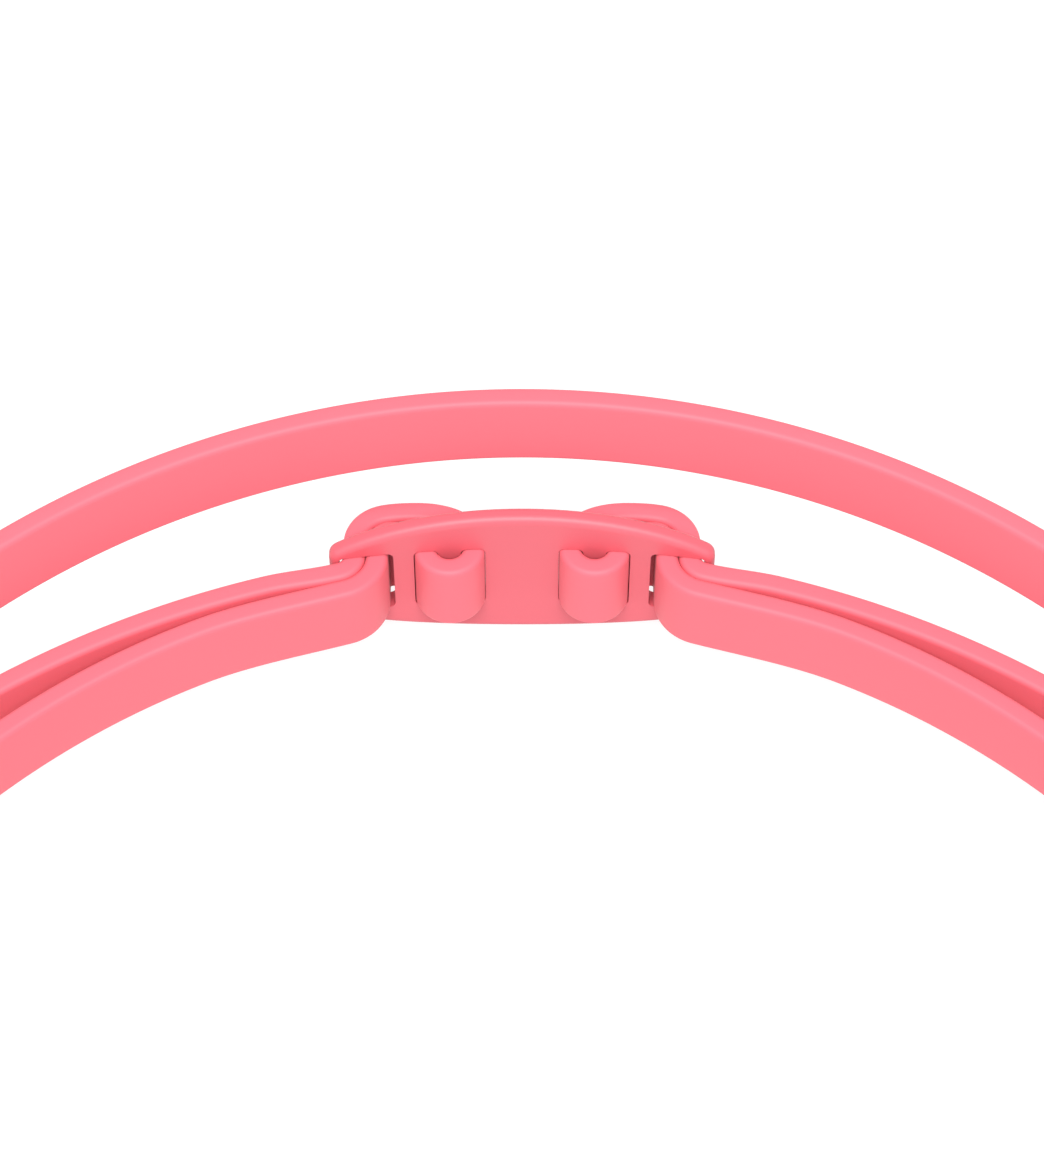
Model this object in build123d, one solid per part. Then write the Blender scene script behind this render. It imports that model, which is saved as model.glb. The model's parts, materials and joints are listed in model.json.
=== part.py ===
# Swim goggles: two cup frames with lenses and seals, a nose bridge, and one doubled silicone strap
# whose ends are threaded through a clip at the back of the head.
# X is to the right, Y points to the back of the head, Z is up. Millimetres.
# The model is drawn with Y = 0 at the upper band's inner face at the back, then moved to its base.
from build123d import *
import math
import os

# strap
strap_height = 8.0
strap_thick = 2.1
strap_edge = 0.5
half = strap_thick / 2
lower_z = 8.35
band_spread = 16.2
upper_z = lower_z + band_spread
temple_z = lower_z + band_spread / 2

# plan ellipses of the strap's middle line: half width, half depth, Y of the centre
upper_plan = (74.7 + half, 79.9 + half, -79.9)
lower_plan = (72.0 + half, 77.0 + half, -84.3)
tail_plan = (84.0 + half, 86.0 + half, -91.6)
tail_end_x = 62.0
peel_x = 24.0
meet_x = 30.0

# temple bar, which the strap turns round
bar_x = 74.0
bar_y = -152.0
bar_radius = 1.2
bar_gap = 0.15
turn_radius = bar_radius + bar_gap + half
# the bands climb or drop between these two places
rise_start_y = bar_y + 8.0
rise_end_y = -72.0

# temple arm of the frame
arm_half_height = 6.1
arm_back = 2.3
arm_corner = 0.9
arm_inner_x = 58.0
arm_root_front = 10.5
arm_root_back = 0.5
arm_knee = (66.5, 7.5)
arm_window_half_height = 4.25
arm_window_inner = 4.2
bar_end = 0.2

# the strap is cut on a roller round the swing axis, which clears the corners of the arm
joint_gap = 0.3
swing_radius = math.hypot(arm_half_height, arm_back) + 0.1
loop_reach = swing_radius + 1.4

# rear clip
clip_half_length = 18.2
clip_ellipse_x = 21.6
clip_half_height = 8.35
clip_thick = 1.8
clip_front_y = -4.14
clip_bend = 115.0
clip_lip = 0.7
clip_corner = 1.2
slot_corner = 0.6
slot_half_height = 4.1
slots = ((3.48, 5.8), (7.9, 10.24), (12.15, 17.32))

# the strap's path through the clip, in plan
layer_gap = 0.05
weave_bend = 1.25
weave_back_y = -1.62
curl_x = 6.86
curl_y = -3.8
curl_radius = 2.3
stem = 0.95
stem_pull = 2.25
crest = (10.0, 0.72)
crest_pull_in = 3.0
crest_pull_out = 1.1
loop_pull = 1.0
loop_angle = 80.0
tip_turn = (17.7, -4.75)
tip_radius = 1.85
tip_angle = 74.0

# eye cups
cup_x = 37.5
cup_y = -168.0
cup_wrap = 9.0
cup_half_width = 27.5
cup_half_height = 15.6
cup_square = 2.5
cup_taper = 0.14
cup_lean = 0.03
outline_points = 28
front_bend = 95.0
bezel_thick = 1.2
bezel_inset = 3.6
bezel_gap = 0.6
lens_thick = 1.8
lens_inset = 2.4
frame_depth = 14.0
frame_flare = 2.2
frame_front_wall = 4.0
frame_back_wall = 2.0

# seals
gasket_wall = 1.7
gasket_step = 0.3
gasket_flare = 4.4
gasket_depth = 34.0
face_radius = 130.0
face_y = cup_y + 11.5

# nose bridge, its ears and pins
bridge_z = 21.0
bridge_height = 8.0
bridge_thick = 2.6
bridge_arch = 3.9
pin_x = 5.3
pin_y = cup_y + 2.4
pin_radius = 1.3
pin_head_radius = 2.0
pin_head_thick = 0.8
eye_radius = 2.3
ear_thick = 1.5
ear_gap = 0.15
ear_length = 11.0
ear_width = 3.8

# longer than anything that it cuts
through = 200.0


def ellipse_point(plan, x):
    """Middle line of a band, in plan, at a given X."""
    a, b, centre = plan
    return Vector(x, centre + b * math.sqrt(1 - (x / a) ** 2))


def ellipse_tangent(plan, x):
    """Direction of growing X along a band's middle line."""
    a, b, centre = plan
    slope = -b * x / (a * a * math.sqrt(1 - (x / a) ** 2))
    return Vector(1, slope).normalized()


def strap_section():
    return RectangleRounded(strap_thick, strap_height, strap_edge)


def section_at(x, y, z, along_x, along_y):
    """The strap's section standing upright across a plan direction."""
    along = Vector(along_x, along_y).normalized()
    place = Plane(origin=(x, y, z), x_dir=(-along.Y, along.X, 0), z_dir=(along.X, along.Y, 0))
    return place * strap_section()


def rise(y):
    """0 at the temple, 1 where the bands run level."""
    t = min(max((y - rise_start_y) / (rise_end_y - rise_start_y), 0), 1)
    return t * t * (3 - 2 * t)


def side_sections(plan, strand_x, sign, band_z):
    """Sections from the temple bar back to the widest place of a band, on the right."""
    a, _, centre = plan
    shapes = []
    steps = 8
    for i in range(steps):
        t = i / steps
        y = bar_y + t * (centre - bar_y)
        ease = t * t * (3 - 2 * t)
        x = strand_x + (a - strand_x) * ease
        slope = (a - strand_x) * 6 * t * (1 - t) / (centre - bar_y)
        z = temple_z + (band_z - temple_z) * rise(y)
        shapes.append((sign * x, y, z, sign * slope, 1))
    return shapes


def round_sections(plan, first_angle, last_angle, band_z, steps):
    """Sections round the back of a band. The angle is 0 at the right and 90 at the back."""
    a, b, centre = plan
    shapes = []
    for i in range(steps + 1):
        angle = math.radians(first_angle + (last_angle - first_angle) * i / steps)
        x = a * math.cos(angle)
        y = centre + b * math.sin(angle)
        z = temple_z + (band_z - temple_z) * rise(y)
        shapes.append((x, y, z, -a * math.sin(angle), b * math.cos(angle)))
    return shapes


def swing_cylinder(radius):
    """A roller on the bands' swing axis, which runs across the head through both temple bars."""
    return Pos(0, bar_y, temple_z) * Rot(0, 90, 0) * Cylinder(radius, through)


def make_upper_band():
    right = side_sections(upper_plan, bar_x + turn_radius, 1, upper_z)
    left = side_sections(upper_plan, bar_x + turn_radius, -1, upper_z)
    back = round_sections(upper_plan, 0, 180, upper_z, 20)
    turned = [(x, y, z, -dx, -dy) for x, y, z, dx, dy in reversed(left)]
    band = loft([section_at(*s) for s in right + back + turned])
    return band - swing_cylinder(swing_radius + joint_gap)


def make_lower_strand():
    """Right lower strand, from the temple to where it turns towards the clip."""
    last_angle = math.degrees(math.acos(meet_x / lower_plan[0]))
    side = side_sections(lower_plan, bar_x - turn_radius, 1, lower_z)
    back = round_sections(lower_plan, 0, last_angle, lower_z, 9)
    strand = loft([section_at(*s) for s in side + back])
    return strand - swing_cylinder(swing_radius + joint_gap)


def make_temple_loop():
    """The strap's turn round the right temple bar, with the first part of both strands."""
    inner = bar_x - turn_radius
    outer = bar_x + turn_radius
    first = Line((inner, bar_y + loop_reach), (inner, bar_y))
    turn = ThreePointArc((inner, bar_y), (bar_x, bar_y - turn_radius), (outer, bar_y))
    last = Line((outer, bar_y), (outer, bar_y + loop_reach))
    path = Pos(0, 0, temple_z) * Wire([first, turn, last])
    loop = sweep(section_at(inner, bar_y + loop_reach, temple_z, 0, -1), path=path)
    front = Pos(bar_x, bar_y - through / 2, temple_z) * Box(through, through, through)
    return (loop & front) + (loop & swing_cylinder(swing_radius))


def weave_path():
    """Middle line of the strap through the clip on the right, from the strand to the tail."""
    start = ellipse_point(lower_plan, meet_x)
    finish = ellipse_point(tail_plan, peel_x)
    bend = weave_bend
    bar_one = weave_back_y - bend
    first = curl_x + curl_radius
    last = curl_x - curl_radius
    entry_arc = CenterArc(tip_turn, tip_radius + strap_thick + layer_gap, 180 + tip_angle, -tip_angle)
    leave_arc = CenterArc(tip_turn, tip_radius, 180, tip_angle)
    in_x = entry_arc.position_at(1).X
    out_x = leave_arc.position_at(0).X
    entry = Spline(
        start, entry_arc.position_at(0),
        tangents=(ellipse_tangent(lower_plan, meet_x) * -1, entry_arc.tangent_at(0)),
    )
    up = Line((in_x, tip_turn[1]), (in_x, bar_one))
    turn_a = RadiusArc((in_x, bar_one), (in_x - bend, weave_back_y), -bend)
    over = Line((in_x - bend, weave_back_y), (first + bend, weave_back_y))
    turn_b = RadiusArc((first + bend, weave_back_y), (first, bar_one), -bend)
    down = Line((first, bar_one), (first, curl_y))
    round_bar = ThreePointArc((first, curl_y), (curl_x, curl_y - curl_radius), (last, curl_y))
    corner = (in_x - bend, bar_one)
    loop_radius = out_x - in_x + bend
    loop_turn = CenterArc(corner, loop_radius, loop_angle, -loop_angle)
    top = curl_y + stem
    straight = Line((last, curl_y), (last, top))
    rise_up = Bezier((last, top), (last, top + stem_pull), (crest[0] - crest_pull_in, crest[1]), crest)
    loop_start = loop_turn.position_at(0)
    ahead = loop_turn.tangent_at(0)
    level = (crest[0] + crest_pull_out, crest[1])
    over_loop = Bezier(crest, level, loop_start - ahead * loop_pull, loop_start)
    back_down = Line((out_x, bar_one), (out_x, tip_turn[1]))
    leave = Spline(
        leave_arc.position_at(1), finish,
        tangents=(leave_arc.tangent_at(1), ellipse_tangent(tail_plan, peel_x)),
    )
    return [entry, entry_arc, up, turn_a, over, turn_b, down, round_bar, straight, rise_up, over_loop,
            loop_turn, back_down, leave_arc, leave]


def make_weave():
    path = Pos(0, 0, lower_z) * Wire(weave_path())
    start = ellipse_point(lower_plan, meet_x)
    along = ellipse_tangent(lower_plan, meet_x) * -1
    weave = sweep(section_at(start.X, start.Y, lower_z, along.X, along.Y), path=path)
    peel = ellipse_point(tail_plan, peel_x)
    knuckle = Pos(peel.X, peel.Y, lower_z) * Cylinder(half + layer_gap, strap_height - 2 * strap_edge)
    return weave + knuckle


def rounded_end():
    """All the room on the tail's side of a half-round end, as tall as the strap."""
    tip = ellipse_point(tail_plan, tail_end_x)
    along = ellipse_tangent(tail_plan, tail_end_x)
    slot_length = 5 * strap_height
    middle = Vector(tip.X, tip.Y, lower_z) - along * (slot_length / 2)
    upright = Plane(origin=middle, x_dir=(along.X, along.Y, 0), z_dir=(-along.Y, along.X, 0))
    end = upright * extrude(SlotOverall(slot_length, strap_height), 2 * strap_thick, both=True)
    rest = Pos(0, 0, lower_z) * Box(2 * (tip.X - strap_height), through, 2 * strap_height)
    return end + rest


def make_tail():
    """The strap's free end on the right, beyond the place where it can be peeled away."""
    end_angle = math.degrees(math.acos(tail_end_x / tail_plan[0]))
    start_angle = math.degrees(math.acos(peel_x / tail_plan[0]))
    shapes = round_sections(tail_plan, end_angle, start_angle, lower_z, 7)
    level = [(x, y, lower_z, dx, dy) for x, y, z, dx, dy in shapes]
    tail = loft([section_at(*s) for s in level]) & rounded_end()
    peel = ellipse_point(tail_plan, peel_x)
    return tail - Pos(peel.X, peel.Y, lower_z) * Cylinder(half + layer_gap + joint_gap, 2 * strap_height)


def make_clip():
    """Curved plate with three slots on each side."""
    flat = Ellipse(clip_ellipse_x, clip_half_height) & Rectangle(2 * clip_half_length, 40)
    flat = fillet(flat.vertices(), clip_corner)
    for low, high in slots:
        for sign in (-1, 1):
            middle = sign * (low + high) / 2
            hole = RectangleRounded(high - low, 2 * slot_half_height, slot_corner)
            flat -= Pos(middle, 0) * hole
    facing = Plane(origin=(0, 10, lower_z), x_dir=(1, 0, 0), z_dir=(0, -1, 0))
    prism = extrude(facing * flat, 30)
    centre_y = clip_front_y - clip_bend
    outer = Cylinder(clip_bend + clip_thick, through)
    inner = Cylinder(clip_bend, through)
    shell = Pos(0, centre_y, lower_z) * (outer - inner)
    plate = prism & shell
    rim = plate.edges().filter_by(lambda edge: edge.length > 3 * slot_half_height)
    return fillet(rim, clip_lip)


def outline(grow, y):
    """Outline of a cup, seen from the front, at a depth Y. X grows towards the temple."""
    a = cup_half_width + grow
    b = cup_half_height + grow
    points = []
    for i in range(outline_points):
        t = 2 * math.pi * i / outline_points
        c = math.cos(t)
        s = math.sin(t)
        reach = (abs(c) ** cup_square + abs(s) ** cup_square) ** (-1 / cup_square)
        x = a * c * reach
        z = b * s * reach * (1 - cup_taper * c) + cup_lean * x
        points.append((x, y, z))
    return Face(Wire([Edge.make_spline([Vector(*p) for p in points], periodic=True)]))


def cup_solid(front_grow, back_grow, front_y, back_y):
    return loft([outline(front_grow, front_y), outline(back_grow, back_y)])


def front_cylinder(inset):
    """Round body whose wall is the bent front of a cup, set back by an inset."""
    return Pos(0, front_bend, 0) * Cylinder(front_bend - inset, through)


def place_cup(shape):
    return Pos(cup_x, cup_y, 0) * Rot(0, 0, cup_wrap) * shape


def make_bezel():
    """Thin ring in front of the lens, following the bent front."""
    front_y = -2
    back_y = 16
    ring = cup_solid(-0.2, 0.3, front_y, back_y)
    ring -= cup_solid(-bezel_inset, -bezel_inset, front_y - 2, back_y + 2)
    band = ring & (front_cylinder(0) - front_cylinder(bezel_thick))
    return place_cup(band)


def make_lens():
    """Right lens, a bent plate of even thickness behind the bezel."""
    plate = cup_solid(-lens_inset, -lens_inset, -2, 16)
    shell = front_cylinder(bezel_thick) - front_cylinder(bezel_thick + lens_thick)
    return place_cup(plate & shell)


def temple_lug(z):
    """Arm of the frame that carries the temple bar, with the slots for both strands."""
    outer_x = bar_x + arm_back
    knee_x, knee_front = arm_knee
    corners = [(arm_inner_x, bar_y - arm_root_front), (arm_inner_x, bar_y + arm_root_back)]
    corners += [(bar_x, bar_y + arm_back), (outer_x, bar_y), (bar_x, bar_y - arm_back)]
    corners += [(knee_x, bar_y - knee_front)]
    profile = fillet(make_face(Polyline(*corners, close=True)).vertices(), arm_corner)
    arm = Pos(0, 0, z - arm_half_height) * extrude(profile, 2 * arm_half_height)
    window_x = bar_x - arm_window_inner + through / 2
    window = Pos(window_x, bar_y, z) * Box(through, 16, 2 * arm_window_half_height)
    bar = Pos(bar_x, bar_y, z) * Cylinder(bar_radius, 2 * (arm_window_half_height + bar_end))
    return arm - window + bar


def nose_ears(z):
    """Two ears on the frame's nose side, one above and one below the bridge's eye."""
    blocks = []
    for sign in (-1, 1):
        middle = z + sign * ((bridge_height + ear_thick) / 2 + ear_gap)
        eye = Pos(pin_x, pin_y, middle) * Cylinder(eye_radius, ear_thick)
        root = Pos(pin_x + ear_length / 2, pin_y + 0.4, middle) * Box(ear_length, ear_width, ear_thick)
        blocks.append(eye + root)
    hole = Pos(pin_x, pin_y, z) * Cylinder(pin_radius, 3 * bridge_height)
    return [block - hole for block in blocks]


def make_frame(drop):
    """Right frame: cup wall, lens seat, temple lug and nose ears."""
    wall = cup_solid(0, frame_flare, 0, frame_depth) & front_cylinder(bezel_thick)
    hollow = cup_solid(-frame_front_wall, frame_flare - frame_back_wall, -2, frame_depth + 1)
    seat = cup_solid(-lens_inset, -lens_inset, -4, 16) - front_cylinder(bezel_thick + lens_thick)
    bezel_room = cup_solid(bezel_gap, bezel_gap, -14, 16) - front_cylinder(bezel_thick)
    lug = temple_lug(temple_z - drop)
    upper_ear, lower_ear = nose_ears(bridge_z - drop)
    body = place_cup(wall) + lug + upper_ear + lower_ear
    return body - place_cup(hollow) - place_cup(seat) - place_cup(bezel_room)


def make_gasket():
    """Right seal: a flared skirt cut to the curve of the face."""
    root = frame_depth + 0.02
    root_grow = frame_flare - gasket_step
    skirt = cup_solid(root_grow, gasket_flare, root, gasket_depth)
    hollow = cup_solid(root_grow - gasket_wall, gasket_flare - gasket_wall, root - 0.01, gasket_depth + 0.01)
    face = Pos(0, face_y + face_radius, 0) * Cylinder(face_radius, through)
    return place_cup(skirt - hollow) - face


def make_bridge(z):
    """Arched soft bridge with an eye on each pin."""
    spine = ThreePointArc((-pin_x, pin_y), (0, pin_y - bridge_arch), (pin_x, pin_y))
    start = spine % 0
    strip = RectangleRounded(bridge_thick, bridge_height - 1.2, 0.9)
    across = Plane(origin=(-pin_x, pin_y, 0), x_dir=(-start.Y, start.X, 0), z_dir=start)
    bow = sweep(across * strip, path=spine)
    for sign in (-1, 1):
        bow += Pos(sign * pin_x, pin_y, 0) * Cylinder(eye_radius, bridge_height)
    for sign in (-1, 1):
        bow -= Pos(sign * pin_x, pin_y, 0) * Cylinder(pin_radius + 0.04, 2 * bridge_height)
    return Pos(0, 0, z) * bow


def make_pin(z):
    """Nose pin with a small round head."""
    long = bridge_height + 2 * (ear_thick + ear_gap) + 0.9
    shank = Pos(pin_x, pin_y, z) * Cylinder(pin_radius - 0.02, long)
    head = Pos(pin_x, pin_y, z + (long + pin_head_thick) / 2) * Cylinder(pin_head_radius, pin_head_thick)
    return shank + head


def right_parts():
    """The pieces that come in a left and a right, drawn on the right."""
    gasket = make_gasket()
    drop = gasket.bounding_box().min.Z
    lift = Pos(0, 0, -drop)
    return {
        "frame": lift * make_frame(-drop),
        "bezel": lift * make_bezel(),
        "lens": lift * make_lens(),
        "gasket": lift * gasket,
        "bridge_pin": make_pin(bridge_z),
        "strap_temple_loop": make_temple_loop(),
        "strap_lower": make_lower_strand(),
        "strap_weave": make_weave(),
        "strap_tail": make_tail(),
    }


def build():
    parts = {
        "rear_clip": make_clip(),
        "strap_upper_band": make_upper_band(),
        "nose_bridge": make_bridge(bridge_z),
    }
    for name, shape in right_parts().items():
        parts[name + "_right"] = shape
        parts[name + "_left"] = mirror(shape, about=Plane.YZ)
    return {name: Compound(shape.solids()) for name, shape in parts.items()}


parts = build()
box = Compound([solid for shape in parts.values() for solid in shape.solids()]).bounding_box()
base = Pos(-box.center().X, -box.center().Y, -box.min.Z)
os.makedirs("parts", exist_ok=True)
for name, shape in parts.items():
    export_step(base * shape, f"parts/{name}.step")
print("moved by", -box.center().Y, -box.min.Z, "size", box.size)
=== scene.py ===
import json
import math

import bpy
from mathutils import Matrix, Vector

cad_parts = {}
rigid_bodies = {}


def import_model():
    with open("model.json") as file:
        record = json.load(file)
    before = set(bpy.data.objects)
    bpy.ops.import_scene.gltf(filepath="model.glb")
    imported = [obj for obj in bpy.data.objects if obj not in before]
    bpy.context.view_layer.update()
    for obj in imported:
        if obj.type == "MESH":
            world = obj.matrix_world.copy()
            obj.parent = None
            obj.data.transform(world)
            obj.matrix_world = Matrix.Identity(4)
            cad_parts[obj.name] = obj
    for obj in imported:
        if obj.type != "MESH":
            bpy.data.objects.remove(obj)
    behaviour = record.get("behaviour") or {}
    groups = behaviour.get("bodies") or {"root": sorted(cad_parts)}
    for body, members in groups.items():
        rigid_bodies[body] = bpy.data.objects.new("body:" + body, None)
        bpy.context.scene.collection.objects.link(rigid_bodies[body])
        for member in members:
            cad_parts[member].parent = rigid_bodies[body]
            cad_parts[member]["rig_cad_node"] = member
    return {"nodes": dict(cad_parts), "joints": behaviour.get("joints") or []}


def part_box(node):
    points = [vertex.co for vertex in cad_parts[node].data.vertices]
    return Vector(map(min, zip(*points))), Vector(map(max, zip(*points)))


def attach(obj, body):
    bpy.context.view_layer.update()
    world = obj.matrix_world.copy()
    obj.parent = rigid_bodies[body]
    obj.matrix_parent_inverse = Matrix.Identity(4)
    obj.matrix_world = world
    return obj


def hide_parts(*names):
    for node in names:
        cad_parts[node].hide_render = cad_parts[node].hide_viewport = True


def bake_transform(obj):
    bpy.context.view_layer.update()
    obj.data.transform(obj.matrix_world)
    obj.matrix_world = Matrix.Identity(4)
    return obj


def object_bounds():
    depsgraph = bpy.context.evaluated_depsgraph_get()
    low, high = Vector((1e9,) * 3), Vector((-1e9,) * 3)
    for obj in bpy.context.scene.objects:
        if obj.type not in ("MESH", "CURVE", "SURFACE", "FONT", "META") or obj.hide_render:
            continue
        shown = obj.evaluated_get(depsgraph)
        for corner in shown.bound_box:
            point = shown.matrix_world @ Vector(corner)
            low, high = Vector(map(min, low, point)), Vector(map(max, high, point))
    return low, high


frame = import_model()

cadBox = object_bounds()
mm = 0.001

# Shared measures of the strap, in millimetres.
strapDims = {"height": 8.0, "thick": 2.1, "corner": 0.55, "perCorner": 6}
halfThick = strapDims["thick"] / 2

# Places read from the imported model: the plan below has Y = 0 at the upper band's inner face.
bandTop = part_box("strap_upper_band")[1]
clipLow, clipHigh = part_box("rear_clip")
turnLow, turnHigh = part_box("strap_temple_loop_right")
shiftY = bandTop.y / mm - strapDims["thick"]
upperZ = bandTop.z / mm - strapDims["height"] / 2
lowerZ = (clipLow.z + clipHigh.z) / 2 / mm
templeZ = (turnLow.z + turnHigh.z) / 2 / mm
barX = (turnLow.x + turnHigh.x) / 2 / mm
turnRadius = (turnHigh.x - turnLow.x) / 2 / mm - halfThick
swing = next(j for j in frame["joints"] if j["name"] == "upper_band_swing")
barY = swing["pos_m"][1] / mm - shiftY
peel = next(j for j in frame["joints"] if j["name"] == "tail_right_peel")
peelX = peel["pos_m"][0] / mm

# Plan ellipses of each band's middle line: half width, half depth, Y of the centre.
upperPlan = (74.7 + halfThick, 79.9 + halfThick, -79.9)
lowerPlan = (72.0 + halfThick, 77.0 + halfThick, -84.3)
tailPlan = (84.0 + halfThick, 86.0 + halfThick, -91.6)
bandDims = {"riseReach": 8.0, "levelFromY": -72.0, "meetX": 30.0, "tailEndX": 62.0, "turnReach": 2.0,
            "softReach": 16.0, "peelReach": 9.0, "tipRound": 3.6}
weaveDims = {"inBend": 1.25, "backY": -1.62, "curlX": 6.86, "curlY": -3.8, "curlRadius": 2.3,
             "tipX": 17.7, "tipY": -4.75, "tipRadius": 1.85, "tipTurn": 74, "crest": (10.0, 0.72),
             "stem": 0.95, "layerGap": 0.05, "loopTurn": 80, "joinPull": 4.5, "stemPull": 2.25,
             "crestPull": (3.0, 1.1), "loopPull": 1.0, "leavePull": 2.2}
cupDims = {"x": 37.5, "y": -168.0, "wrap": 9.0, "halfWidth": 27.5, "halfHeight": 15.6, "square": 2.5,
           "taper": 0.14, "lean": 0.03, "depth": 14.0, "flare": 2.2}


def deselectAll():
    for thing in bpy.context.selected_objects:
        thing.select_set(False)


def makeActive(piece):
    deselectAll()
    piece.select_set(True)
    bpy.context.view_layer.objects.active = piece


def shapeGrid(name, alongCount, aroundCount, place):
    # a grid is bent into a tube: place(u, v) gives millimetres, u runs along it and v around it
    deselectAll()
    bpy.ops.mesh.primitive_grid_add(x_subdivisions=alongCount, y_subdivisions=aroundCount, size=2)
    piece = bpy.context.object
    piece.name = name
    piece.data.name = name
    for vertex in piece.data.vertices:
        u = (vertex.co.x + 1) / 2
        v = (vertex.co.y + 1) / 2
        x, y, z = place(round(u * alongCount) / alongCount, round(v * aroundCount) / aroundCount)
        vertex.co = (x * mm, (y + shiftY) * mm, z * mm)
    makeActive(piece)
    bpy.ops.object.mode_set(mode="EDIT")
    bpy.ops.mesh.select_all(action="SELECT")
    bpy.ops.mesh.remove_doubles(threshold=0.000005)
    bpy.ops.mesh.fill_holes(sides=0)     # closes the ends of an open tube
    bpy.ops.mesh.select_all(action="SELECT")
    bpy.ops.mesh.normals_make_consistent(inside=False)
    bpy.ops.object.mode_set(mode="OBJECT")
    bpy.ops.object.shade_smooth_by_angle(angle=math.radians(40))
    return piece


def mirrorCopy(piece, name):
    twin = piece.copy()
    twin.data = piece.data.copy()
    twin.name = name
    twin.data.name = name
    bpy.context.scene.collection.objects.link(twin)
    for vertex in twin.data.vertices:
        vertex.co.x = -vertex.co.x
    twin.data.flip_normals()
    return twin


def ease(t):
    t = min(max(t, 0), 1)
    return t * t * (3 - 2 * t)


# The next functions give the strap's plan lines, in millimetres.
def bandZ(y, levelZ):
    start = barY + bandDims["riseReach"]
    return templeZ + (levelZ - templeZ) * ease((y - start) / (bandDims["levelFromY"] - start))


def sideLine(plan, strandX, levelZ, count=70):
    points = []
    first = bandDims["turnReach"] / (plan[2] - barY)
    for i in range(count):
        t = first + (1 - first) * i / count
        y = barY + t * (plan[2] - barY)
        points.append(Vector((strandX + (plan[0] - strandX) * ease(t), y, bandZ(y, levelZ))))
    return points


def backLine(plan, firstAngle, lastAngle, levelZ, count):
    points = []
    for i in range(count + 1):
        angle = math.radians(firstAngle + (lastAngle - firstAngle) * i / count)
        y = plan[2] + plan[1] * math.sin(angle)
        points.append(Vector((plan[0] * math.cos(angle), y, bandZ(y, levelZ))))
    return points


def straight(start, end, count=6):
    return [Vector(start).lerp(Vector(end), i / count) for i in range(count + 1)]


def arc(centre, radius, firstAngle, turn, count=26):
    points = []
    for i in range(count + 1):
        angle = math.radians(firstAngle + turn * i / count)
        points.append(Vector((centre[0] + radius * math.cos(angle), centre[1] + radius * math.sin(angle))))
    return points


def softCurve(start, startWay, end, endWay, pull, count=24):
    # a cubic curve that leaves and arrives in the given directions
    a = Vector(start)
    d = Vector(end)
    b = a + Vector(startWay).normalized() * pull[0]
    c = d - Vector(endWay).normalized() * pull[1]
    points = []
    for i in range(count + 1):
        t = i / count
        s = 1 - t
        points.append(a * s ** 3 + b * 3 * s * s * t + c * 3 * s * t * t + d * t ** 3)
    return points


def onPlan(plan, x):
    return Vector((x, plan[2] + plan[1] * math.sqrt(1 - (x / plan[0]) ** 2)))


def wayOnPlan(plan, x):
    slope = -plan[1] * x / (plan[0] ** 2 * math.sqrt(1 - (x / plan[0]) ** 2))
    return Vector((1, slope)).normalized()


def weaveLine():
    # from the lower strand, twice through the clip and round its bars, to the free end
    w = weaveDims
    tip = (w["tipX"], w["tipY"])
    mainRadius = w["tipRadius"] + strapDims["thick"] + w["layerGap"]
    firstLeg = w["curlX"] + w["curlRadius"]
    lastLeg = w["curlX"] - w["curlRadius"]
    inX = tip[0] - mainRadius
    outX = tip[0] - w["tipRadius"]
    bend = w["inBend"]
    cornerY = w["backY"] - bend
    loopRadius = outX - inX + bend
    entry = arc(tip, mainRadius, 180 + w["tipTurn"], -w["tipTurn"])
    leave = arc(tip, w["tipRadius"], 180, w["tipTurn"])
    loopTurn = arc((inX - bend, cornerY), loopRadius, w["loopTurn"], -w["loopTurn"], 34)
    exitWay = leave[-1] - leave[-2]
    join = onPlan(lowerPlan, bandDims["meetX"])
    runs = [
        softCurve(join, -wayOnPlan(lowerPlan, bandDims["meetX"]), entry[0], entry[1] - entry[0],
                  (w["joinPull"], w["joinPull"])),
        entry,
        straight((inX, tip[1]), (inX, cornerY)),
        arc((inX - bend, cornerY), bend, 0, 90),
        straight((inX - bend, w["backY"]), (firstLeg + bend, w["backY"])),
        arc((firstLeg + bend, cornerY), bend, 90, 90),
        straight((firstLeg, cornerY), (firstLeg, w["curlY"])),
        arc((w["curlX"], w["curlY"]), w["curlRadius"], 0, -180, 40),
        straight((lastLeg, w["curlY"]), (lastLeg, w["curlY"] + w["stem"])),
        softCurve((lastLeg, w["curlY"] + w["stem"]), (0, 1), w["crest"], (1, 0),
                  (w["stemPull"], w["crestPull"][0]), 40),
        softCurve(w["crest"], (1, 0), loopTurn[0], loopTurn[1] - loopTurn[0],
                  (w["crestPull"][1], w["loopPull"]), 16),
        loopTurn,
        straight((outX, cornerY), (outX, tip[1])),
        leave,
        softCurve(leave[-1], exitWay, onPlan(tailPlan, peelX), wayOnPlan(tailPlan, peelX),
                  (w["leavePull"], w["leavePull"])),
    ]
    points = []
    for run in runs:
        for p in run:
            if not points or (p - points[-1].xy).length > 0.02:
                points.append(Vector((p.x, p.y, lowerZ)))
    return points


def strapSection():
    # corner arcs of the strap's section: across its thickness and up its height
    points = []
    a = halfThick - strapDims["corner"]
    b = strapDims["height"] / 2 - strapDims["corner"]
    count = strapDims["perCorner"]
    for quarter, (sx, sz) in enumerate(((1, 1), (-1, 1), (-1, -1), (1, -1))):
        for i in range(count + 1):
            angle = math.radians(90 * quarter + 90 * i / count)
            points.append((sx * a + strapDims["corner"] * math.cos(angle),
                           sz * b + strapDims["corner"] * math.sin(angle)))
    return points


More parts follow.
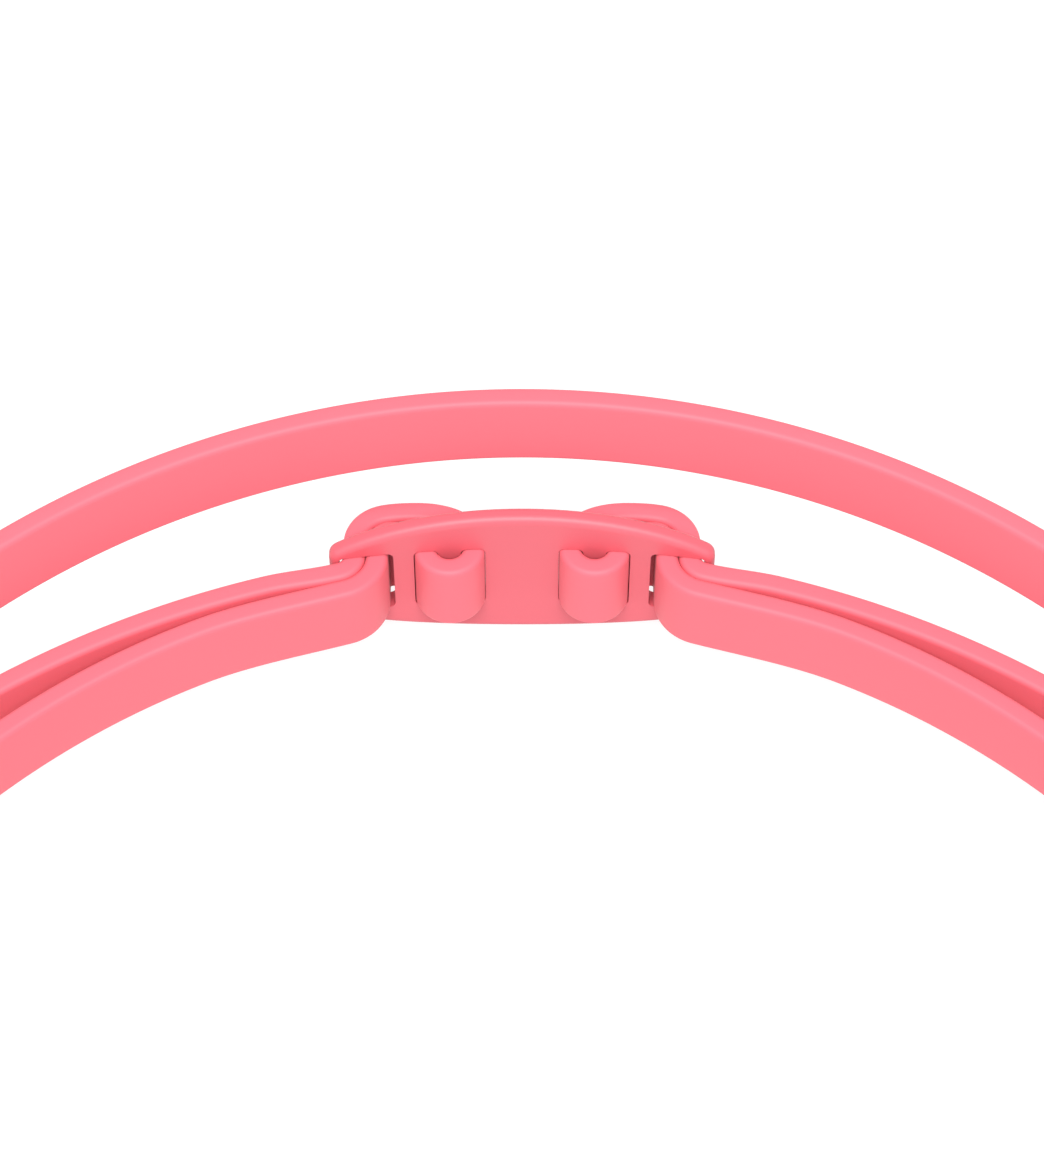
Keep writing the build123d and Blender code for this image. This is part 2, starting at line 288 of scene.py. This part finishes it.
def strapPiece(name, line, roundTip=0):
    # sweeps the section along a line, standing upright; roundTip rounds the last end, seen from the side
    section = strapSection()
    last = len(line) - 1
    ways = []
    for i in range(last + 1):
        way = line[min(i + 1, last)] - line[max(i - 1, 0)]
        ways.append(Vector((way.x, way.y, 0)).normalized())
    travelled = [0]
    for i in range(last):
        travelled.append(travelled[-1] + (line[i + 1] - line[i]).length)

    def place(u, v):
        i = round(u * last)
        k = round(v * len(section)) % len(section)
        across, up = section[k]
        left = travelled[last] - travelled[i]
        if roundTip and left < roundTip:
            shrink = math.sqrt(max(1 - (1 - left / roundTip) ** 2, 0.0025))
            up *= shrink
        way = ways[i]
        p = line[i]
        return (p.x + way.y * across, p.y - way.x * across, p.z + up)

    return shapeGrid(name, last, len(section), place)


def makeStrap():
    reach = barY + bandDims["turnReach"]
    innerX = barX - turnRadius
    outerX = barX + turnRadius
    back = backLine(upperPlan, 0, 180, upperZ, 260)
    right = sideLine(upperPlan, outerX, upperZ)
    left = [Vector((-p.x, p.y, p.z)) for p in reversed(right)]
    upper = strapPiece("upperBand", right + back + left)
    lastAngle = math.degrees(math.acos(bandDims["meetX"] / lowerPlan[0]))
    lower = sideLine(lowerPlan, innerX, lowerZ) + backLine(lowerPlan, 0, lastAngle, lowerZ, 110)
    lowerRight = strapPiece("lowerStrapRight", lower + weaveLine()[1:])
    turn = [Vector((p[0], p[1], templeZ)) for p in
            straight((innerX, reach), (innerX, barY)) + arc((barX, barY), turnRadius, 180, 180)[1:]
            + straight((outerX, barY), (outerX, reach))[1:]]
    turnRight = strapPiece("templeTurnRight", turn)
    startAngle = math.degrees(math.acos(peelX / tailPlan[0]))
    endAngle = math.degrees(math.acos(bandDims["tailEndX"] / tailPlan[0]))
    tail = [Vector((p.x, p.y, lowerZ)) for p in backLine(tailPlan, startAngle, endAngle, lowerZ, 90)]
    tailRight = strapPiece("freeEndRight", tail, roundTip=bandDims["tipRound"])
    pairs = [(lowerRight, mirrorCopy(lowerRight, "lowerStrapLeft")),
             (turnRight, mirrorCopy(turnRight, "templeTurnLeft")),
             (tailRight, mirrorCopy(tailRight, "freeEndLeft"))]

    def place(y, x=0):
        return (x * mm, (y + shiftY) * mm, templeZ * mm)

    soft = barY + bandDims["softReach"]
    place(reach)
    place(soft)
    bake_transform(upper)
    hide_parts("strap_upper_band")
    peelPoint = onPlan(tailPlan, peelX)
    peelWay = wayOnPlan(tailPlan, peelX) * bandDims["peelReach"]
    for side, sign, k in (("right", 1, 0), ("left", -1, 1)):
        lowerPiece, turnPiece, tailPiece = pairs[0][k], pairs[1][k], pairs[2][k]
        place(reach)
        place(soft)
        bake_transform(lowerPiece)
        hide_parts("strap_lower_" + side, "strap_weave_" + side)
        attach(turnPiece, "front")
        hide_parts("strap_temple_loop_" + side)
        place(peelPoint.y, sign * peelPoint.x)
        place(peelPoint.y + peelWay.y, sign * (peelPoint.x + peelWay.x))
        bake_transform(tailPiece)
        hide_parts("strap_tail_" + side)
    return [upper] + [piece for pair in pairs for piece in pair]


sealDims = {"wall": 1.7, "step": 0.3, "flare": 4.4, "flareDepth": 20.0, "rimDepth": 20.0, "bead": 0.95,
            "beadTurn": 200, "faceRadius": 130.0, "faceY": 11.5, "lensInset": -2.4, "around": 144}


def cupPoint(turn, grow, depth):
    # a point of a cup's outline, in the plan's millimetres, for the right cup
    c = math.cos(turn)
    s = math.sin(turn)
    reach = (abs(c) ** cupDims["square"] + abs(s) ** cupDims["square"]) ** (-1 / cupDims["square"])
    x = (cupDims["halfWidth"] + grow) * c * reach
    z = (cupDims["halfHeight"] + grow) * s * reach * (1 - cupDims["taper"] * c) + cupDims["lean"] * x
    wrap = math.radians(cupDims["wrap"])
    return (cupDims["x"] + x * math.cos(wrap) - depth * math.sin(wrap),
            cupDims["y"] + x * math.sin(wrap) + depth * math.cos(wrap), z)


def faceDepth(turn, grow):
    # how deep the seal reaches before it meets the face, a big upright cylinder
    radius = sealDims["faceRadius"]
    depth = cupDims["depth"]
    for _ in range(8):
        x, y, z = cupPoint(turn, grow, depth)
        faceAt = cupDims["y"] + sealDims["faceY"] + radius - math.sqrt(radius ** 2 - x ** 2)
        depth += faceAt - y
    return depth


def sealGrow(depth):
    # the skirt widens evenly towards the face
    rootGrow = cupDims["flare"] - sealDims["step"]
    return rootGrow + (sealDims["flare"] - rootGrow) * (depth - cupDims["depth"]) / sealDims["flareDepth"]


def sealSection(turn):
    # from the frame out along the skirt, round the bead and back inside, as (grow, depth)
    root = cupDims["depth"] + 0.02
    bead = sealDims["bead"]
    rim = faceDepth(turn, sealGrow(sealDims["rimDepth"]))
    end = rim - bead
    points = [(sealGrow(root + (end - root) * i / 8), root + (end - root) * i / 8) for i in range(9)]
    centre = sealGrow(end) - bead
    for i in range(1, 14):
        angle = math.radians(sealDims["beadTurn"] * i / 14)
        points.append((centre + bead * math.cos(angle), end + bead * math.sin(angle)))
    for i in range(9):
        depth = end + (root - end) * i / 8
        points.append((sealGrow(depth) - sealDims["wall"], depth))
    return points


def makeSeals():
    around = sealDims["around"]
    sections = [sealSection(2 * math.pi * i / around) for i in range(around)]
    count = len(sections[0])
    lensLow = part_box("lens_right")[0].z / mm
    lensRim = [cupPoint(2 * math.pi * i / around, sealDims["lensInset"], 0) for i in range(around)]
    drop = lensLow - min(z for x, y, z in lensRim)

    def place(u, v):
        i = round(u * around) % around
        grow, depth = sections[i][round(v * count) % count]
        x, y, z = cupPoint(2 * math.pi * i / around, grow, depth)
        return (x, y, z + drop)

    right = shapeGrid("faceSealRight", around, count, place)
    left = mirrorCopy(right, "faceSealLeft")
    for piece, side in ((right, "right"), (left, "left")):
        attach(piece, "front")
        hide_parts("gasket_" + side)
    return [right, left]


bridgeDims = {"arch": 3.9, "strip": 2.6, "stripDrop": 1.2, "corner": 0.9, "waist": 0.16, "eyeRadius": 2.3,
              "hole": 1.34, "soft": 0.5, "steps": 60}


def makeBridge():
    low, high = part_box("nose_bridge")
    z = (low.z + high.z) / 2 / mm
    height = (high.z - low.z) / mm
    pinLow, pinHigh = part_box("bridge_pin_right")
    pinX = (pinLow.x + pinHigh.x) / 2 / mm
    pinY = (pinLow.y + pinHigh.y) / 2 / mm - shiftY
    rise = bridgeDims["arch"]
    radius = (pinX ** 2 + rise ** 2) / (2 * rise)
    span = math.degrees(math.asin(pinX / radius))
    steps = bridgeDims["steps"]
    corner = bridgeDims["corner"]
    line = arc((0, pinY - rise + radius), radius, 270 - span, 2 * span, steps)
    a = bridgeDims["strip"] / 2 - corner
    b = (height - bridgeDims["stripDrop"]) / 2 - corner
    section = []
    for quarter, (sx, sz) in enumerate(((1, 1), (-1, 1), (-1, -1), (1, -1))):
        for i in range(7):
            angle = math.radians(90 * quarter + 15 * i)
            section.append((sx * a + corner * math.cos(angle), sz * b + corner * math.sin(angle)))

    def placeBow(u, v):
        i = round(u * steps)
        way = (line[min(i + 1, steps)] - line[max(i - 1, 0)]).normalized()
        across, up = section[round(v * len(section)) % len(section)]
        waist = 1 - bridgeDims["waist"] * math.sin(math.pi * i / steps)     # narrows a little over the nose
        return (line[i].x + way.y * across, line[i].y - way.x * across, z + up * waist)

    bow = shapeGrid("noseBow", steps, len(section), placeBow)
    wall = (bridgeDims["hole"], bridgeDims["eyeRadius"])
    top = height / 2
    soft = bridgeDims["soft"]
    cut = soft * 0.3     # the rounded edge's middle point
    ring = [(wall[0], -top), (wall[1] - soft, -top), (wall[1] - cut, -top + cut), (wall[1], -top + soft),
            (wall[1], top - soft), (wall[1] - cut, top - cut), (wall[1] - soft, top), (wall[0], top)]
    eyes = []
    for sign in (-1, 1):
        def placeEye(u, v, sign=sign):
            radiusHere, up = ring[round(v * len(ring)) % len(ring)]
            angle = 2 * math.pi * u
            return (sign * pinX + radiusHere * math.cos(angle), pinY + radiusHere * math.sin(angle), z + up)
        eyes.append(shapeGrid("noseEye", 48, len(ring), placeEye))
    makeActive(bow)
    for eye in eyes:
        eye.select_set(True)
    bpy.ops.object.join()
    bow.name = "noseBridge"
    bow.data.name = "noseBridge"
    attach(bow, "front")
    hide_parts("nose_bridge")
    return bow


class Wire:
    # a socket that takes part in sums, so that a shader reads like arithmetic
    def __init__(self, maker, socket):
        self.maker = maker
        self.socket = socket

    def sum(self, operation, *values):
        return self.maker.node("ShaderNodeMath", {"operation": operation}, values)

    def __add__(self, other):
        return self.sum("ADD", self, other)

    def __radd__(self, other):
        return self.sum("ADD", other, self)

    def __sub__(self, other):
        return self.sum("SUBTRACT", self, other)

    def __rsub__(self, other):
        return self.sum("SUBTRACT", other, self)

    def __mul__(self, other):
        return self.sum("MULTIPLY", self, other)

    def __rmul__(self, other):
        return self.sum("MULTIPLY", other, self)


class Finish:
    def __init__(self, name):
        self.material = bpy.data.materials.new(name)
        self.material.use_nodes = True
        self.tree = self.material.node_tree
        self.shader = next(n for n in self.tree.nodes if n.type == "BSDF_PRINCIPLED")

    def node(self, kind, settings=None, inputs=(), output=0):
        made = self.tree.nodes.new(kind)
        for key, value in (settings or {}).items():
            setattr(made, key, value)
        pairs = inputs.items() if isinstance(inputs, dict) else enumerate(inputs)
        for key, value in pairs:
            self.plug(made.inputs[key], value)
        return Wire(self, made.outputs[output])

    def plug(self, socket, value):
        if isinstance(value, Wire):
            self.tree.links.new(value.socket, socket)
        else:
            socket.default_value = value

    def set(self, **values):
        for key, value in values.items():
            self.plug(self.shader.inputs[key.replace("_", " ")], value)

    def place(self):
        return self.node("ShaderNodeTexCoord", output="Object")

    def noise(self, scale, detail):
        inputs = {"Vector": self.place(), "Scale": scale, "Detail": detail}
        return self.node("ShaderNodeTexNoise", inputs=inputs)

    def blendColors(self, factor, first, second):
        return self.node("ShaderNodeMix", {"data_type": "RGBA"}, {0: factor, 6: first, 7: second}, output=2)

    def bump(self, height, strength, distance):
        inputs = {"Strength": strength, "Distance": distance, "Height": height}
        return self.node("ShaderNodeBump", inputs=inputs)


def tint(color, factor):
    return tuple(c * factor for c in color[:3]) + (1,)


def mouldedFinish(name, color, look):
    # moulded silicone or plastic: faint cloudiness, a fine grain and a slightly uneven gloss
    finish = Finish(name)
    cloud = finish.noise(look["cloudScale"], 3.0)
    grain = finish.noise(look["grainScale"], 2.0)
    darker = tint(color, 1 - look["cloud"])
    lighter = tint(color, 1 + look["cloud"])
    finish.set(Base_Color=finish.blendColors(cloud, darker, lighter))
    finish.set(Roughness=look["roughness"] + look["uneven"] * (cloud - 0.5))
    finish.set(Normal=finish.bump(grain, look["grain"], look["grainDepth"] * mm))
    finish.set(IOR=look["ior"], Specular_IOR_Level=look["specular"])
    if look.get("sheen"):
        finish.set(Sheen_Weight=look["sheen"], Sheen_Roughness=0.5)
    if look.get("coat"):
        finish.set(Coat_Weight=look["coat"], Coat_Roughness=0.12)
    return finish.material


pink = (0.76, 0.135, 0.172)
siliconeLook = {"cloudScale": 60.0, "grainScale": 2600.0, "cloud": 0.025, "roughness": 0.52, "uneven": 0.08,
                "grain": 0.06, "grainDepth": 0.05, "ior": 1.42, "specular": 0.4, "sheen": 0.06}
clipLook = {"cloudScale": 80.0, "grainScale": 3400.0, "cloud": 0.02, "roughness": 0.46, "uneven": 0.06,
            "grain": 0.05, "grainDepth": 0.04, "ior": 1.48, "specular": 0.45}
frameLook = {"cloudScale": 40.0, "grainScale": 3000.0, "cloud": 0.02, "roughness": 0.3, "uneven": 0.06,
             "grain": 0.03, "grainDepth": 0.03, "ior": 1.5, "specular": 0.5, "coat": 0.25}
bezelLook = {"cloudScale": 50.0, "grainScale": 3000.0, "cloud": 0.01, "roughness": 0.22, "uneven": 0.05,
             "grain": 0.02, "grainDepth": 0.03, "ior": 1.5, "specular": 0.5, "coat": 0.4}
sealLook = {"cloudScale": 50.0, "grainScale": 2200.0, "cloud": 0.02, "roughness": 0.58, "uneven": 0.08,
            "grain": 0.05, "grainDepth": 0.05, "ior": 1.41, "specular": 0.35, "sheen": 0.08}


def lensFinish():
    finish = Finish("smokeLens")
    haze = finish.noise(90.0, 2.0)
    finish.set(Base_Color=finish.blendColors(haze, (0.30, 0.33, 0.38, 1), (0.34, 0.37, 0.42, 1)))
    finish.set(Roughness=0.03 + 0.03 * haze)
    finish.set(IOR=1.49, Transmission_Weight=0.92, Coat_Weight=0.3, Coat_Roughness=0.03)
    return finish.material


def dress(piece, material):
    piece.data.materials.clear()
    piece.data.materials.append(material)
    "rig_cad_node" not in piece


print("strap: sweeping the bands, turns and free ends")
strapPieces = makeStrap()
print("front: seals and nose bridge")
seals = makeSeals()
bridge = makeBridge()

print("finishes")
silicone = mouldedFinish("strapSilicone", pink, siliconeLook)
# the clip takes the strap's pink darkened to 0.84: painted shade for the shade that falls on the clip's
# face under the band
clipPlasticPaintedShade = mouldedFinish("clipPlasticPaintedShade", tint(pink, 0.84), clipLook)
framePlastic = mouldedFinish("framePlastic", tint(pink, 0.93), frameLook)
bezelPlastic = mouldedFinish("bezelPlastic", (0.40, 0.045, 0.07), bezelLook)
sealSilicone = mouldedFinish("sealSilicone", (0.84, 0.36, 0.38), sealLook)
lensTint = lensFinish()
for piece in strapPieces:
    dress(piece, silicone)
for piece in seals + [bridge]:
    dress(piece, sealSilicone)
dress(frame["nodes"]["rear_clip"], clipPlasticPaintedShade)
for side in ("left", "right"):
    dress(frame["nodes"]["frame_" + side], framePlastic)
    dress(frame["nodes"]["bezel_" + side], bezelPlastic)
    dress(frame["nodes"]["bridge_pin_" + side], bezelPlastic)
    dress(frame["nodes"]["lens_" + side], lensTint)


def makeFloor():
    deselectAll()
    bpy.ops.mesh.primitive_plane_add(size=6, location=(0, 0, cadBox[0][2] - 0.0002))
    floor = bpy.context.object
    floor.name = "floor"
    paint = Finish("paleFloor")
    paint.set(Base_Color=(0.2, 0.2, 0.2, 1), Roughness=0.9, Specular_IOR_Level=0.1)
    paint.set(Emission_Color=(1, 1, 1, 1), Emission_Strength=0.86)
    floor.data.materials.append(paint.material)


lightDims = {"world": 0.55, "place": (0, -0.40, 0.91), "size": 0.7, "power": 16.0}


def makeLight():
    world = bpy.data.worlds.new("studio")
    bpy.context.scene.world = world
    world.use_nodes = True
    background = next(n for n in world.node_tree.nodes if n.type == "BACKGROUND")
    background.inputs["Color"].default_value = (1, 1, 1, 1)
    background.inputs["Strength"].default_value = lightDims["world"]
    place = Vector(lightDims["place"])
    deselectAll()
    bpy.ops.object.light_add(type="AREA", location=place)
    light = bpy.context.object
    light.name = "keySoftbox"
    light.data.size = lightDims["size"]
    light.data.energy = lightDims["power"]
    light.rotation_euler = (-place).to_track_quat("-Z", "Y").to_euler()


cameraView = {"pitch": 52.73, "distance": 284.3, "rise": 16.76, "lens": 95.6}


def makeCamera():
    # looks down on the back of the strap from above the lenses
    pitch = math.radians(cameraView["pitch"])
    target = Vector((0, shiftY, upperZ + strapDims["height"] / 2))
    ahead = Vector((0, math.cos(pitch), -math.sin(pitch)))
    up = Vector((0, math.sin(pitch), math.cos(pitch)))
    place = target - ahead * cameraView["distance"] - up * cameraView["rise"]
    deselectAll()
    bpy.ops.object.camera_add(location=place * mm, rotation=(math.pi / 2 - pitch, 0, 0))
    camera = bpy.context.object
    camera.data.sensor_fit = "VERTICAL"
    camera.data.sensor_height = 36.0
    camera.data.lens = cameraView["lens"]
    camera.data.clip_start = 0.005
    bpy.context.scene.camera = camera


print("stage")
makeFloor()
makeLight()
makeCamera()
bpy.context.scene.view_settings.view_transform = "Standard"
